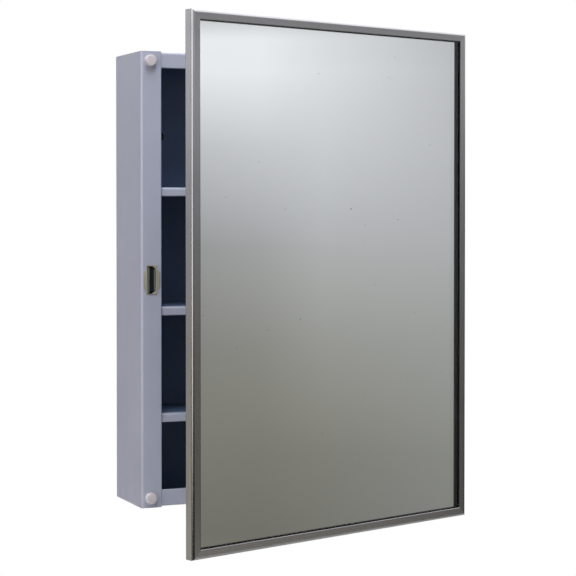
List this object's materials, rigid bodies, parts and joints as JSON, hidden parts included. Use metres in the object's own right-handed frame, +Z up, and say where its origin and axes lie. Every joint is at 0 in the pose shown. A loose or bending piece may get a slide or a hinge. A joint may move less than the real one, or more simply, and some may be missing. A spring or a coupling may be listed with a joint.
{
  "type": "medicine cabinet with mirror",
  "caption": "Surface-mounted steel medicine cabinet with inner shelves behind a hinged mirror door in a slim stainless channel frame.",
  "frame": {"origin": "centre of the back face, where the cabinet meets the wall", "axes": "+Z up, +Y into the wall, so the front faces -Y and the hinge is on the +X side"},
  "size_m": [0.3904, 0.2319, 0.5588],
  "materials": {
    "enamelled_steel": "satin blue-grey baked enamel",
    "stainless_frame": "bright polished stainless steel",
    "hinge_steel": "plain stainless steel",
    "plated_steel": "dull zinc plate",
    "galvanized_steel": "spangled galvanized sheet",
    "mirror_glass": "clear float glass, faintly green",
    "silvering": "silver coating with paint behind",
    "padding_foam": "closed-cell foam sheet",
    "bumper_rubber": "white moulded rubber",
    "catch_plastic": "ivory moulded plastic",
    "ferrite": "black ceramic magnet"
  },
  "bodies": {
    "cabinet": {"back_panel": "enamelled_steel", "left_side_panel": "enamelled_steel", "right_side_panel": "enamelled_steel", "top_panel": "enamelled_steel", "bottom_panel": "enamelled_steel", "shelf_lower": "enamelled_steel", "shelf_middle": "enamelled_steel", "shelf_upper": "enamelled_steel", "bumper_upper": "bumper_rubber", "bumper_lower": "bumper_rubber", "catch_housing": "catch_plastic", "hinge_cabinet_leaf": "hinge_steel", "hinge_pin": "hinge_steel", "hinge_cabinet_rivets": "hinge_steel"},
    "catch_pack": {"catch_magnet": "ferrite", "catch_outer_pole": "plated_steel", "catch_inner_pole": "plated_steel", "catch_cross_pin": "plated_steel"},
    "door": {"frame_left_member": "stainless_frame", "frame_right_member": "stainless_frame", "frame_top_member": "stainless_frame", "frame_bottom_member": "stainless_frame", "frame_corner_keys": "plated_steel", "strike_plate": "plated_steel", "strike_rivets": "plated_steel", "mirror_glass": "mirror_glass", "mirror_silvering": "silvering", "mirror_padding": "padding_foam", "door_back_panel": "galvanized_steel", "hinge_door_leaf": "hinge_steel", "hinge_door_rivets": "hinge_steel"}
  },
  "joints": [
    {"name": "door_hinge", "type": "hinge", "parent": "cabinet", "child": "door", "pos_m": [0.18705, -0.0914, 0], "axis": [0, 0, 1], "range_deg": [-19, 81]},
    {"name": "catch_float", "type": "slide", "parent": "cabinet", "child": "catch_pack", "axis": [0, -1, 0], "range_m": [0, 0.0008]}
  ]
}
